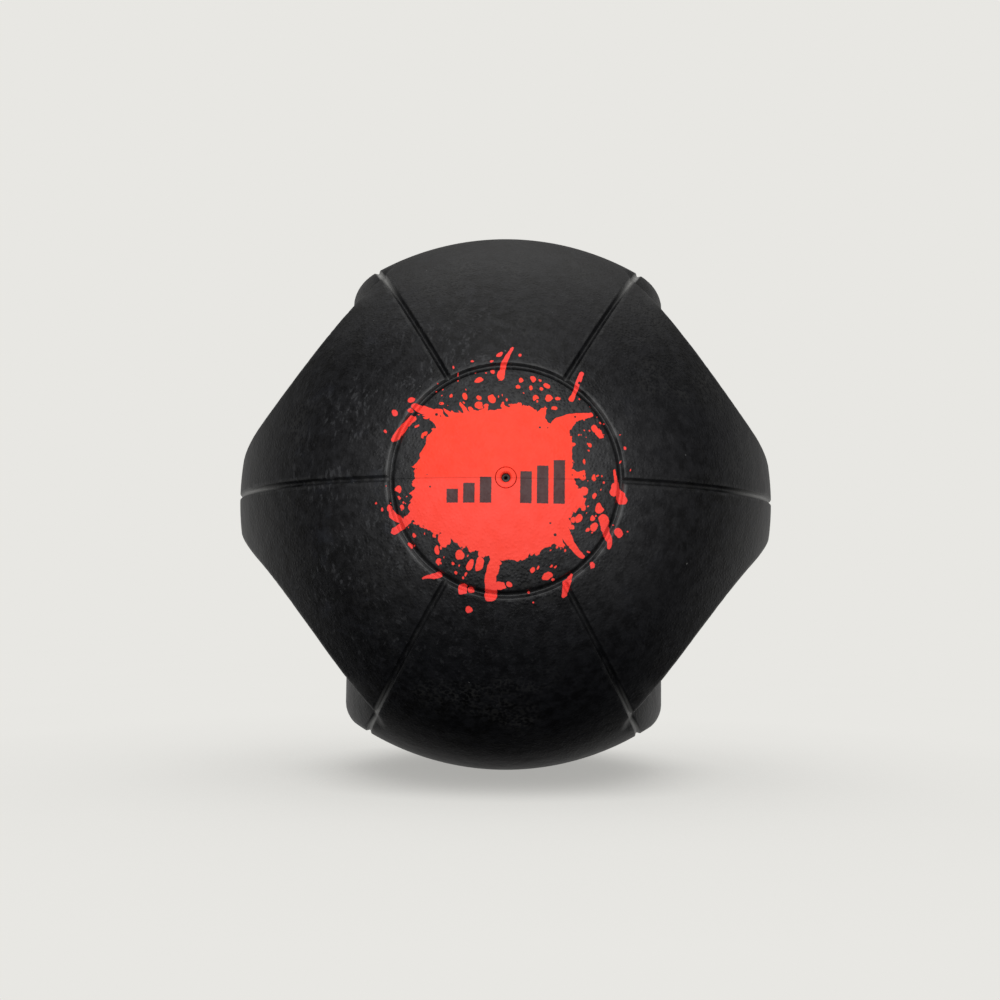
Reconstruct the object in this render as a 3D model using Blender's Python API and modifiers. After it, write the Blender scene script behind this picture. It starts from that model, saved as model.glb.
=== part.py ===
"""Double-grip rubber medicine ball, modelled as its separate moulded pieces.

Frame: origin at the centre of the ball, X to the right grip, +Z up, the front disc with the valve
faces -Y. Units are metres. The ball rests on the flat at the middle of the bottom panel.
"""

from collections import namedtuple
from math import asin, cos, pi, radians, sin, sqrt

import bmesh
import bpy
from mathutils import Matrix, Vector

MM = 0.001

# Ball and cover
BALL_R = 140 * MM
COVER_T = 4 * MM
GAP = 0.3 * MM
GROOVE_W = 2.4 * MM
DISC_R = 50.5 * MM
PANEL_STEP = radians(60)
# Anticlockwise seen from the front, starting at the right grip
PANEL_NAMES = (
    "upper_right_panel",
    "top_panel",
    "upper_left_panel",
    "lower_left_panel",
    "bottom_panel",
    "lower_right_panel",
)

# Core barrel and hand openings, both about the vertical axis
BARREL_R = 82.6 * MM
RIM_R = 86 * MM
MOUTH_HALF_ANGLE = radians(47)
MOUTH_TOP = 0.75 * BALL_R
GRIP_HALF_HEIGHT = 0.165 * BALL_R
GRIP_INNER_R = 110.6 * MM
SLOT_HALF_ANGLE = radians(34)
SLOT_END_ROUND = radians(7)
SLOT_END_DEPTH = 14 * MM
SLOT_HALF_HEIGHT = 60 * MM
MOUTH_RISE_POWER = 3.0
MOUTH_EDGE_POWER = 0.606

# Grip cores
CORE_ARC_R = 125.5 * MM
CORE_R = 6 * MM
CORE_HEAD_R = 8.5 * MM
CORE_HEAD_LENGTH = 5 * MM
CORE_HALF_ANGLE = radians(36)

# Bladder, winding and valve; places are distances forward of the centre
WINDING_R = 58 * MM
CAVITY_R = WINDING_R + GAP
BLADDER_R = 54 * MM
BLADDER_T = 2 * MM
STEM_R = 4.5 * MM
VALVE_HOLE_R = STEM_R + GAP
STEM_TO = 139.1 * MM
COLLAR_R = 6.5 * MM
COLLARS_AT = (96 * MM, 72 * MM)
COLLAR_TAPER = 2.5 * MM
COLLAR_LAND = 1.5 * MM
FLANGE_R = 11 * MM
FLANGE_FROM = 46.5 * MM
FLANGE_TO = 49 * MM
FLANGE_SLOPE = 0.8 * MM
POCKET_R = 2.7 * MM
POCKET_FROM = 106 * MM
NEEDLE_R = 1 * MM
PLUG_FRONT = STEM_TO - 1.2 * MM
PLUG_HOLE_DEPTH = 9 * MM
PLUG_HOLE_STRAIGHT = 8 * MM
PLUG_HOLE_END_R = NEEDLE_R * 0.8

# Joint of the two body halves
TONGUE_IN_R = 65.5 * MM
TONGUE_OUT_R = 70 * MM
TONGUE_H = 3 * MM

# Cutter extents, chosen to pass well clear of the surfaces being cut
REACH = 1.3 * BALL_R
BLOCK_REACH = 1.07 * BALL_R
PRISM_REACH = 1.2 * BALL_R
WEDGE_SPAN = 2.4 * BALL_R
MOUTH_CUT_TOP = 1.15 * BALL_R
MOUTH_CUT_INNER_R = 0.5 * BARREL_R
SLOT_CUT_INNER_R = 0.42 * BARREL_R
DISC_CUT_FROM = 0.5 * BALL_R
VALVE_CUT_FRONT = 1.1 * BALL_R
VALVE_HOLE_BACK = 0.4 * BALL_R
VALVE_BORE_BACK = 0.3 * BALL_R
QUARTER_FROM_X = 1 * MM

# Facets
BALL_SEGMENTS = 32
BALL_RINGS = 17
INNER_SEGMENTS = 18
INNER_RINGS = 8
VALVE_SEGMENTS = 16
MOUTH_STATIONS = 7
SLOT_END_STEPS = 3
SLOT_FLAT_STEPS = 4
CORE_SHANK_STEPS = 3
SMOOTH_BELOW = radians(35)

# Finishes
Finish = namedtuple("Finish", "colour roughness")
BLACK = (0.018, 0.018, 0.02)
COVER_FINISH = Finish(colour=BLACK, roughness=0.62)
LINER_FINISH = Finish(colour=BLACK, roughness=0.7)
BODY_FINISH = Finish(colour=(0.03, 0.03, 0.03), roughness=0.75)
GRIP_CORE_FINISH = Finish(colour=(0.12, 0.11, 0.1), roughness=0.6)
WINDING_FINISH = Finish(colour=(0.62, 0.58, 0.48), roughness=0.85)
BLADDER_FINISH = Finish(colour=(0.05, 0.045, 0.045), roughness=0.5)
VALVE_FINISH = Finish(colour=(0.05, 0.05, 0.055), roughness=0.5)
PLUG_FINISH = Finish(colour=(0.2, 0.19, 0.17), roughness=0.55)

# Signs along X and Z, with the words used in names
SIDES = ((-1, "left"), (1, "right"))
LEVELS = ((1, "upper"), (-1, "lower"))

# The ball's poles lie on Y, and a facet is centred on each of +X, -X, +Z and -Z.
TO_FRONT = Matrix.Rotation(pi / 2, 4, "X")
HALF_STEP = Matrix.Rotation(pi / BALL_SEGMENTS, 4, "Z")

for old in list(bpy.data.objects):
    bpy.data.objects.remove(old, do_unlink=True)

scene = bpy.context.scene
scene.unit_settings.system = "METRIC"
parts = bpy.data.collections.new("medicine_ball")
cutters = bpy.data.collections.new("medicine_ball_cutters")
scene.collection.children.link(parts)
scene.collection.children.link(cutters)
cutters.hide_render = True


# Helpers and booleans

def add_helper(name, mesh):
    """An unrendered wire object in the cutters' collection."""
    obj = bpy.data.objects.new(name, mesh)
    obj.hide_render = True
    obj.display_type = "WIRE"
    cutters.objects.link(obj)
    return obj


def helper(name, bm):
    """A cutter or a raw solid from a bmesh, which is freed."""
    bmesh.ops.recalc_face_normals(bm, faces=bm.faces)
    mesh = bpy.data.meshes.new(name)
    bm.to_mesh(mesh)
    bm.free()
    return add_helper(name, mesh)


def evaluated(obj, name):
    """A helper holding the object's mesh with its modifiers applied."""
    bpy.context.view_layer.update()
    graph = bpy.context.evaluated_depsgraph_get()
    mesh = bpy.data.meshes.new_from_object(obj.evaluated_get(graph), depsgraph=graph)
    mesh.transform(obj.matrix_world)
    mesh.name = name
    return add_helper(name, mesh)


def merge_points(mesh, distance):
    """Close a mesh by merging its coincident points, and face it outwards."""
    bm = bmesh.new()
    bm.from_mesh(mesh)
    bmesh.ops.remove_doubles(bm, verts=bm.verts, dist=distance)
    bmesh.ops.recalc_face_normals(bm, faces=bm.faces)
    bm.to_mesh(mesh)
    bm.free()


def combined(name, base, steps):
    """The base with each (other, operation) applied in turn, as a new helper."""
    work = bpy.data.objects.new(name + "_work", base.data)
    work.matrix_world = base.matrix_world
    work.hide_render = True
    cutters.objects.link(work)
    for other, operation in steps:
        modifier = work.modifiers.new(f"{operation.lower()}_{other.name}", "BOOLEAN")
        modifier.operation = operation
        modifier.solver = "EXACT"
        modifier.object = other
    made = evaluated(work, name)
    bpy.data.objects.remove(work, do_unlink=True)
    return made


# Basic solids

def ball(name, radius):
    bm = bmesh.new()
    bmesh.ops.create_uvsphere(
        bm, u_segments=BALL_SEGMENTS, v_segments=BALL_RINGS, radius=radius
    )
    bmesh.ops.transform(bm, matrix=TO_FRONT @ HALF_STEP, verts=bm.verts)
    return helper(name, bm)


def cylinder(name, radius, depth, placing):
    """A cylinder made along Z about the origin, then placed by a matrix."""
    bm = bmesh.new()
    bmesh.ops.create_cone(
        bm, cap_ends=True, segments=BALL_SEGMENTS, radius1=radius, radius2=radius, depth=depth
    )
    bmesh.ops.transform(bm, matrix=placing, verts=bm.verts)
    return helper(name, bm)


def upright_cylinder(name, radius, half_height):
    return cylinder(name, radius, 2 * half_height, HALF_STEP)


def front_cylinder(name, radius, y_low, y_high):
    placing = Matrix.Translation((0, (y_low + y_high) / 2, 0)) @ TO_FRONT
    return cylinder(name, radius, y_high - y_low, placing)


def box(name, low, high):
    low, high = Vector(low), Vector(high)
    bm = bmesh.new()
    bmesh.ops.create_cube(bm, size=1)
    middle = Matrix.Translation((low + high) / 2)
    bmesh.ops.transform(bm, matrix=middle @ Matrix.Diagonal((*(high - low), 1)), verts=bm.verts)
    return helper(name, bm)


def cube(name, reach):
    return box(name, (-reach,) * 3, (reach,) * 3)


def ring(name, inner, outer, low, high):
    """An upright ring between two radii and two heights."""
    outside = upright_cylinder(name + "_outside", outer, (high - low) / 2)
    inside = upright_cylinder(name + "_inside", inner, high - low)
    solid = combined(name, outside, [(inside, "DIFFERENCE")])
    solid.data.transform(Matrix.Translation((0, 0, (low + high) / 2)))
    return solid


def loft(name, sections):
    """A solid through sections that have the same number of points, with both ends capped."""
    bm = bmesh.new()
    rings = [[bm.verts.new(point) for point in section] for section in sections]
    for near, far in zip(rings, rings[1:]):
        for i in range(len(near)):
            j = (i + 1) % len(near)
            bm.faces.new((near[i], near[j], far[j], far[i]))
    bm.faces.new(rings[0][::-1])
    bm.faces.new(rings[-1])
    bmesh.ops.triangulate(bm, faces=bm.faces)
    return helper(name, bm)


def turned(name, profile, segments):
    """A profile of (radius, distance to the front) turned about the front axis."""
    mesh = bpy.data.meshes.new(name)
    edges = [(i, i + 1) for i in range(len(profile) - 1)]
    mesh.from_pydata([(radius, 0, front) for radius, front in profile], edges, [])
    obj = bpy.data.objects.new(name + "_profile", mesh)
    obj.matrix_world = TO_FRONT
    obj.hide_render = True
    cutters.objects.link(obj)
    screw = obj.modifiers.new("turn", "SCREW")
    screw.axis = "Z"
    screw.steps = screw.render_steps = segments
    screw.use_merge_vertices = True
    screw.merge_threshold = 0.01 * MM
    screw.use_normal_calculate = True
    made = evaluated(obj, name)
    bpy.data.objects.remove(obj, do_unlink=True)
    merge_points(made.data, distance=0.005 * MM)
    return made


# Hand openings

def around(radius, angle, height, side):
    """A point about the vertical axis, its angle measured from the grip on this side."""
    return Vector((side * radius * cos(angle), radius * sin(angle), height))


def mouth_height(share):
    """Height of a mouth's edge above the middle, at a share of its half angle."""
    dip = (1 - abs(share) ** MOUTH_RISE_POWER) ** MOUTH_EDGE_POWER
    return MOUTH_TOP - (MOUTH_TOP - GRIP_HALF_HEIGHT) * dip


def mouth_normal(share):
    """How far a mouth's edge moves sideways and down for each unit it is grown."""
    if abs(share) == 1:
        return share, 0.0
    step = 0.002
    run = step * MOUTH_HALF_ANGLE * (BARREL_R + BALL_R) / 2
    rise = mouth_height(share + step / 2) - mouth_height(share - step / 2)
    slope = Vector((run, rise)).normalized()
    return slope.y, slope.x


def mouth_cutter(name, side, up, grow):
    """The wide flare above or below a grip bar, grown by a distance."""
    sections = []
    for i in range(-MOUTH_STATIONS, MOUTH_STATIONS + 1):
        share = sin(pi / 2 * i / MOUTH_STATIONS)
        out, down = mouth_normal(share)
        height = mouth_height(share) - grow * down
        section = []
        for radius, z in (
            (MOUTH_CUT_INNER_R, height),
            (REACH, height),
            (REACH, MOUTH_CUT_TOP),
            (MOUTH_CUT_INNER_R, MOUTH_CUT_TOP),
        ):
            angle = share * MOUTH_HALF_ANGLE + grow * out / max(radius, BARREL_R)
            section.append(around(radius, angle, up * z, side))
        sections.append(section)
    return loft(name, sections)


def slot_cutter(name, side, grow):
    """The finger slot between the barrel and a grip bar, with rounded ends."""
    end = SLOT_HALF_ANGLE + grow / GRIP_INNER_R
    flat = end - SLOT_END_ROUND
    end_angles = [
        -end + SLOT_END_ROUND * (1 - cos(pi / 2 * i / SLOT_END_STEPS))
        for i in range(SLOT_END_STEPS + 1)
    ]
    flat_angles = [
        flat * i / SLOT_FLAT_STEPS for i in range(1 - SLOT_FLAT_STEPS, SLOT_FLAT_STEPS)
    ]
    sections = []
    for angle in end_angles + flat_angles + [-a for a in reversed(end_angles)]:
        over = max(0.0, abs(angle) - flat) / SLOT_END_ROUND
        inset = SLOT_END_DEPTH * (1 - sqrt(max(0.0, 1 - over * over)))
        outer = GRIP_INNER_R + grow - inset
        sections.append(
            [
                around(SLOT_CUT_INNER_R, angle, -SLOT_HALF_HEIGHT, side),
                around(outer, angle, -SLOT_HALF_HEIGHT, side),
                around(outer, angle, SLOT_HALF_HEIGHT, side),
                around(SLOT_CUT_INNER_R, angle, SLOT_HALF_HEIGHT, side),
            ]
        )
    return loft(name, sections)


def envelope(name, grow):
    """Everything outside the hand openings, with the openings' walls moved back by a distance."""
    block = cube(name + "_block", BLOCK_REACH)
    steps = []
    for side, side_name in SIDES:
        for up, up_name in LEVELS:
            mouth = mouth_cutter(f"{name}_{up_name}_{side_name}_mouth", side, up, grow)
            steps.append((mouth, "DIFFERENCE"))
        steps.append((slot_cutter(f"{name}_{side_name}_slot", side, grow), "DIFFERENCE"))
    barrel = upright_cylinder(name + "_barrel", BARREL_R - grow, PRISM_REACH)
    steps.append((barrel, "UNION"))
    return combined(name, block, steps)


# Other shapes

def arc_profile(radius, start):
    """Profile points from an angle off the front axis round to the back pole."""
    points = []
    for i in range(INNER_RINGS):
        angle = start + (pi - start) * i / INNER_RINGS
        points.append((radius * sin(angle), radius * cos(angle)))
    return points + [(0.0, -radius)]


def hollow_ball_profile(outer, inner):
    """From the inner back pole, up the inside, through the valve hole and down the outside."""
    inside = arc_profile(inner, asin(VALVE_HOLE_R / inner))
    return inside[::-1] + arc_profile(outer, asin(VALVE_HOLE_R / outer))


def cavity_profile():
    """The winding's outside without its hole, grown to the size of the cavity."""
    start = asin(VALVE_HOLE_R / WINDING_R)
    return [(0.0, CAVITY_R * cos(start))] + arc_profile(CAVITY_R, start)


def stem_profile(grow, front):
    """The valve stem and its collars from the front backwards, grown by a distance."""
    points = [(STEM_R + grow, front)]
    for at in COLLARS_AT:
        points += [
            (STEM_R + grow, at + COLLAR_TAPER + grow),
            (COLLAR_R + grow, at + grow),
            (COLLAR_R + grow, at - COLLAR_LAND - grow),
            (STEM_R + grow, at - COLLAR_LAND - grow),
        ]
    return points


def rod(name, side, grow):
    """A grip core: an arc about the vertical axis with a thicker head at each end."""
    extra = grow / CORE_ARC_R
    head = CORE_HEAD_LENGTH / CORE_ARC_R
    end = CORE_HALF_ANGLE
    shank = end - head * 1.5
    # Angle, and share of the way from the shank's radius to the head's
    head_stations = [
        (-end - extra, 0.8),
        (-end + head * 0.3 - extra, 1.0),
        (-end + head + extra, 1.0),
        (-shank + extra, 0.0),
    ]
    shank_stations = [
        (shank * 0.9 * i / CORE_SHANK_STEPS, 0.0)
        for i in range(-CORE_SHANK_STEPS, CORE_SHANK_STEPS + 1)
    ]
    far_head = [(-angle, share) for angle, share in reversed(head_stations)]
    stations = head_stations + shank_stations + far_head

    data = bpy.data.curves.new(name, "CURVE")
    data.dimensions = "3D"
    data.bevel_depth = CORE_R
    data.bevel_resolution = 1
    data.use_fill_caps = True
    spline = data.splines.new("POLY")
    spline.points.add(len(stations) - 1)
    for point, (angle, share) in zip(spline.points, stations):
        point.co = (*around(CORE_ARC_R, angle, 0, side), 1)
        point.radius = (CORE_R + share * (CORE_HEAD_R - CORE_R) + grow) / CORE_R
    curve = bpy.data.objects.new(name + "_curve", data)
    cutters.objects.link(curve)
    made = evaluated(curve, name)
    bpy.data.objects.remove(curve, do_unlink=True)
    merge_points(made.data, distance=0.01 * MM)
    return made


def wedge(name, index):
    """The space between two neighbouring grooves, as a three-sided prism along the front axis."""

    def offset(distance, angle):
        return Vector((distance * cos(angle), 0, distance * sin(angle)))

    low = index * PANEL_STEP
    apex = offset(GROOVE_W / 2 / sin(PANEL_STEP / 2), low + PANEL_STEP / 2)
    corners = [apex] + [apex + offset(WEDGE_SPAN, a) for a in (low, low + PANEL_STEP)]
    to_front = Vector((0, -PRISM_REACH, 0))
    bm = bmesh.new()
    face = bm.faces.new([bm.verts.new(corner + to_front) for corner in corners])
    pulled = bmesh.ops.extrude_face_region(bm, geom=[face])
    moved = [v for v in pulled["geom"] if isinstance(v, bmesh.types.BMVert)]
    bmesh.ops.translate(bm, verts=moved, vec=(0, 2 * PRISM_REACH, 0))
    return helper(name, bm)


# Finished pieces

def material(name, finish):
    made = bpy.data.materials.new(name + "_material")
    made.use_nodes = True
    shader = made.node_tree.nodes["Principled BSDF"]
    shader.inputs["Base Color"].default_value = (*finish.colour, 1)
    shader.inputs["Roughness"].default_value = finish.roughness
    made.diffuse_color = (*finish.colour, 1)
    return made


def part(name, solid, finish):
    """The named piece, from a finished helper, with its own material as the only slot."""
    mesh = solid.data.copy()
    mesh.name = name
    mesh.materials.clear()
    mesh.materials.append(material(name, finish))
    parts.objects.link(bpy.data.objects.new(name, mesh))
    mesh.shade_smooth()
    mesh.set_sharp_from_angle(angle=SMOOTH_BELOW)


# Spaces shared by several pieces
ball_skin = ball("ball_skin", BALL_R)
cover_inside = ball("cover_inside", BALL_R - COVER_T)
body_skin = ball("body_skin", BALL_R - COVER_T - GAP)
open_space = envelope("open_space", 0.0)
liner_space = envelope("liner_space", COVER_T)
body_space = envelope("body_space", COVER_T + GAP)

# Cover: the skin of the ball, to be cut into two discs and six panels
cover = combined("cover", ball_skin, [(open_space, "INTERSECT"), (cover_inside, "DIFFERENCE")])

# Discs, the front one with a hole for the valve
valve_hole = turned(
    "valve_hole",
    [
        (0, VALVE_CUT_FRONT),
        (VALVE_HOLE_R, VALVE_CUT_FRONT),
        (VALVE_HOLE_R, VALVE_HOLE_BACK),
        (0, VALVE_HOLE_BACK),
    ],
    VALVE_SEGMENTS,
)
for disc_name, y_low, y_high, holes in (
    ("front_disc", -REACH, -DISC_CUT_FROM, [(valve_hole, "DIFFERENCE")]),
    ("rear_disc", DISC_CUT_FROM, REACH, []),
):
    punch = front_cylinder(disc_name + "_punch", DISC_R - GROOVE_W / 2, y_low, y_high)
    solid = combined(disc_name + "_solid", cover, [(punch, "INTERSECT")] + holes)
    part(disc_name, solid, COVER_FINISH)

# Panels; the four beside the grips make room for the barrel's rim
disc_space = front_cylinder("disc_space", DISC_R + GROOVE_W / 2, -REACH, REACH)
rim_room = upright_cylinder("rim_room", RIM_R + GAP, REACH)
rim_spaces = []
for index, panel_name in enumerate(PANEL_NAMES):
    between = wedge(panel_name + "_wedge", index)
    steps = [(between, "INTERSECT"), (disc_space, "DIFFERENCE")]
    if panel_name not in ("top_panel", "bottom_panel"):
        steps.append((rim_room, "DIFFERENCE"))
        rim = upright_cylinder(panel_name + "_rim", RIM_R, REACH)
        rim_spaces.append(combined(panel_name + "_rim_space", rim, [(between, "INTERSECT")]))
    part(panel_name, combined(panel_name + "_solid", cover, steps), COVER_FINISH)

# Liners: the cover rubber inside each hand opening and over the barrel's rim beside it,
# parted level with the middle of the grips
rim_skins = [
    combined(space.name + "_skin", space, [(cover_inside, "DIFFERENCE")]) for space in rim_spaces
]
behind_liner = combined(
    "behind_liner", liner_space, [(skin, "DIFFERENCE") for skin in rim_skins]
)
around_body = combined(
    "around_body",
    cube("around_body_block", REACH),
    [(space, "DIFFERENCE") for space in [body_skin] + rim_spaces],
)
lining = combined(
    "lining",
    ball_skin,
    [(open_space, "INTERSECT"), (behind_liner, "DIFFERENCE"), (around_body, "DIFFERENCE")],
)
for side, side_name in SIDES:
    for up, up_name in LEVELS:
        x_low, x_high = sorted((side * QUARTER_FROM_X, side * REACH))
        z_low, z_high = sorted((up * GAP / 2, up * REACH))
        quarter = box(
            f"{up_name}_{side_name}_quarter", (x_low, -REACH, z_low), (x_high, REACH, z_high)
        )
        liner_name = f"{up_name}_{side_name}_opening_liner"
        solid = combined(liner_name + "_solid", lining, [(quarter, "INTERSECT")])
        part(liner_name, solid, LINER_FINISH)

# Dense body: two halves with the air cavity, the valve's bore and the grip cores' channels
cavity = turned("cavity", cavity_profile(), INNER_SEGMENTS)
bore_profile = [
    (0.0, VALVE_CUT_FRONT),
    *stem_profile(GAP, VALVE_CUT_FRONT),
    (VALVE_HOLE_R, VALVE_BORE_BACK),
    (0.0, VALVE_BORE_BACK),
]
valve_bore = turned("valve_bore", bore_profile, VALVE_SEGMENTS)
channels = [rod(f"{side_name}_core_channel", side, GAP) for side, side_name in SIDES]
bores = [(bore, "DIFFERENCE") for bore in [valve_bore] + channels]
bulk = combined("bulk", body_skin, [(body_space, "INTERSECT"), (cavity, "DIFFERENCE")])

upper_half = box("upper_half", (-REACH, -REACH, GAP / 2), (REACH, REACH, REACH))
lower_half = box("lower_half", (-REACH, -REACH, -REACH), (REACH, REACH, -GAP / 2))
tongue = ring("tongue", TONGUE_IN_R, TONGUE_OUT_R, -TONGUE_H, TONGUE_H)
tongue_room = ring(
    "tongue_room", TONGUE_IN_R - GAP, TONGUE_OUT_R + GAP, -TONGUE_H, TONGUE_H + GAP
)
for level, half, joint in (
    ("upper", upper_half, (tongue_room, "DIFFERENCE")),
    ("lower", lower_half, (tongue, "UNION")),
):
    solid = combined(level + "_solid", bulk, [(half, "INTERSECT"), joint] + bores)
    part(level + "_body", solid, BODY_FINISH)

# Grip cores
for side, side_name in SIDES:
    solid = rod(f"{side_name}_core_solid", side, 0.0)
    part(f"{side_name}_grip_core", solid, GRIP_CORE_FINISH)

# Winding and bladder, each with its hole for the valve at the front
for name, outer, inner, finish in (
    ("winding", WINDING_R, BLADDER_R + GAP, WINDING_FINISH),
    ("bladder", BLADDER_R, BLADDER_R - BLADDER_T, BLADDER_FINISH),
):
    solid = turned(name + "_solid", hollow_ball_profile(outer, inner), INNER_SEGMENTS)
    part(name, solid, finish)

# Valve body: a flanged tube from the bladder to the front disc
valve_profile = [
    (NEEDLE_R, FLANGE_FROM),
    (NEEDLE_R, POCKET_FROM),
    (POCKET_R, POCKET_FROM),
    (POCKET_R, STEM_TO),
    *stem_profile(0.0, STEM_TO),
    (STEM_R, FLANGE_TO),
    (FLANGE_R, FLANGE_TO - FLANGE_SLOPE),
    (FLANGE_R, FLANGE_FROM),
    (NEEDLE_R, FLANGE_FROM),
]
part("valve_body", turned("valve_body_solid", valve_profile, VALVE_SEGMENTS), VALVE_FINISH)

# Valve core: the soft plug in the tube's pocket, with a blind needle hole from the front
plug_profile = [
    (0.0, PLUG_FRONT - PLUG_HOLE_DEPTH),
    (PLUG_HOLE_END_R, PLUG_FRONT - PLUG_HOLE_STRAIGHT),
    (NEEDLE_R, PLUG_FRONT),
    (POCKET_R - GAP, PLUG_FRONT),
    (POCKET_R - GAP, POCKET_FROM + GAP),
    (0.0, POCKET_FROM + GAP),
]
part("valve_core", turned("valve_core_solid", plug_profile, VALVE_SEGMENTS), PLUG_FINISH)
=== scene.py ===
# A black rubber ball with a grip at its left and right, a disc on its front and rear, and a red
# paint splash on the front. Inside are a valve, a bladder with a thread winding, and grip cores.
# The ball's centre is the origin. The front and the valve face -Y, the right grip is at +X and
# +Z is up. Shapes and textures are worked out in millimetres; the scene itself is in metres.
import math

import bpy
import numpy as np
from mathutils import Matrix, Vector


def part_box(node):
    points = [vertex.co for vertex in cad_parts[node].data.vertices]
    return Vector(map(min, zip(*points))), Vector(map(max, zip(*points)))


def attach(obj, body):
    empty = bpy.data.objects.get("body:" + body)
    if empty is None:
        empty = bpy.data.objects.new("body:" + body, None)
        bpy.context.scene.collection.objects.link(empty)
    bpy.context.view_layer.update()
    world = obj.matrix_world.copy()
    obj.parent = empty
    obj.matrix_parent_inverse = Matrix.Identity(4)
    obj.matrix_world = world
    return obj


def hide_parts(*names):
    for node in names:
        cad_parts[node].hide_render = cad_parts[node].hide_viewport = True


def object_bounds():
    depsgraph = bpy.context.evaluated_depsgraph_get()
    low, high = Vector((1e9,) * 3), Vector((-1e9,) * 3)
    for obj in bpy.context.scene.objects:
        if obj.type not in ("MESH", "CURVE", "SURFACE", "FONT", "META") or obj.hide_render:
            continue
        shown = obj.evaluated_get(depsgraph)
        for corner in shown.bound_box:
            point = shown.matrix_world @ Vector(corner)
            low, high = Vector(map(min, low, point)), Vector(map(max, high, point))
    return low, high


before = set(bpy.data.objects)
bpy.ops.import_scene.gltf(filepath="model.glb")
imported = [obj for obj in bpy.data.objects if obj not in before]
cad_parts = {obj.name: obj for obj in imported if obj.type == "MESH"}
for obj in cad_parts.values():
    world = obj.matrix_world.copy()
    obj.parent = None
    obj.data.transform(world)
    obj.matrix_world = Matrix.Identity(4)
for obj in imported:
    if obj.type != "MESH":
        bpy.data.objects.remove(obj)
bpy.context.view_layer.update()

# --- Sizes, in millimetres ---


def largest_radius(name):
    """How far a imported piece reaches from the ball's centre."""
    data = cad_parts[name].data
    flat = np.empty(len(data.vertices) * 3, np.float32)
    data.vertices.foreach_get("co", flat)
    return float(np.linalg.norm(flat.reshape(-1, 3).astype(float) * 1000.0, axis=1).max())


BALL_R = largest_radius("top_panel")
disc_low, disc_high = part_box("rear_disc")
GROOVE_GAP = 2.4
DISC_R = (disc_high.x - disc_low.x) * 500.0 + GROOVE_GAP / 2
COVER_T = 3.6
LINER_FROM = BALL_R - 6.6  # the cover nearer the centre than this is opening liner

# Openings round the grips; angles are seen from above, measured from the X axis
BARREL_R = 83.2
GRIP_INNER_R = 110.6
GRIP_HALF_H = 0.165 * BALL_R
MOUTH_HALF = math.radians(47.0)
MOUTH_TOP = 0.75 * BALL_R
MOUTH_POWER, MOUTH_RISE_POWER = 3, 1.65
MOUTH_INSET = 3.6
MOUTH_MIN_R = 40.0  # keeps the mouth's slope finite near the Z axis
MOUTH_MAX_REACH = 70.0
SLOT_HALF = math.radians(34.0)
SLOT_MID_R = 96.6
SLOT_DEPTH = 30.0  # how far the slot runs on inside the barrel
SLOT_CORNER = 12.0
OPENING_BLEND, BARREL_BLEND, LIP_BLEND = 9.0, 8.0, 5.5

# Moulded grooves
GROOVE_DEPTH, GROOVE_HALF = 2.0, 1.75
RING_DEPTH, RING_HALF = 2.3, 2.0

VALVE_HOLE_R = 4.75
VALVE_HEAD_R = VALVE_HOLE_R - 0.3

# --- The ball's surface as a signed field: below zero in rubber, above zero in air ---


def round_max(one, two, blend):
    corner = np.sqrt(np.maximum(one + blend, 0) ** 2 + np.maximum(two + blend, 0) ** 2)
    return np.minimum(np.maximum(one, two), -blend) + corner


def round_min(one, two, blend):
    return -round_max(-one, -two, blend)


def smooth_step(low, high, value):
    share = np.clip((value - low) / (high - low), 0, 1)
    return share * share * (3 - 2 * share)


def base_field(points):
    """The ball with its openings but no grooves, the same on both sides of each main plane."""
    x, y, z = (np.abs(points[:, i]) for i in range(3))
    radius = np.hypot(x, y)
    angle = np.arctan2(y, np.maximum(x, 1e-6))
    sphere = np.sqrt(radius * radius + z * z) - BALL_R
    # the wide mouth above and below each grip
    height = MOUTH_TOP - GRIP_HALF_H
    share = angle / MOUTH_HALF
    rise = np.maximum((MOUTH_TOP - z) / height, 0.0)
    level = share**MOUTH_POWER + rise**MOUTH_RISE_POWER - 1
    across = 3 * share**2 / (MOUTH_HALF * np.maximum(radius, MOUTH_MIN_R))
    upward = MOUTH_RISE_POWER * rise ** (MOUTH_RISE_POWER - 1) / height
    mouth = level / np.maximum(np.hypot(across, upward), 1 / MOUTH_MAX_REACH)
    mouth = mouth + MOUTH_INSET * smooth_step(0.18, 0.55, share)
    # the finger slot behind the grip
    half_width = (GRIP_INNER_R - BARREL_R + SLOT_DEPTH) / 2
    middle = GRIP_INNER_R - half_width
    past_side = SLOT_MID_R * angle - (SLOT_MID_R * SLOT_HALF - SLOT_CORNER)
    past_wall = np.abs(radius - middle) - (half_width - SLOT_CORNER)
    slot = np.hypot(np.maximum(past_side, 0), np.maximum(past_wall, 0))
    slot = slot + np.minimum(np.maximum(past_side, past_wall), 0) - SLOT_CORNER
    air = round_min(mouth, slot, OPENING_BLEND)
    air = round_max(air, BARREL_R - radius, BARREL_BLEND)
    return round_max(sphere, -air, LIP_BLEND)


def gradient(field, points, reach=0.04):
    slope = np.empty_like(points)
    for i in range(3):
        offset = np.zeros(3)
        offset[i] = reach
        slope[:, i] = (field(points + offset) - field(points - offset)) / (2 * reach)
    return slope


def project(field, points, steps):
    """Moves the points onto the field's zero surface."""
    for _ in range(steps):
        slope = gradient(field, points)
        move = field(points) / np.maximum((slope * slope).sum(1), 0.25)
        points = points - np.clip(move, -3, 3)[:, None] * slope
    return points


def unit(vectors):
    return vectors / np.maximum(np.linalg.norm(vectors, axis=1), 1e-12)[:, None]


# --- Making and cutting the surface mesh ---


def stacked(*columns):
    return np.stack(columns, 1)


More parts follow.
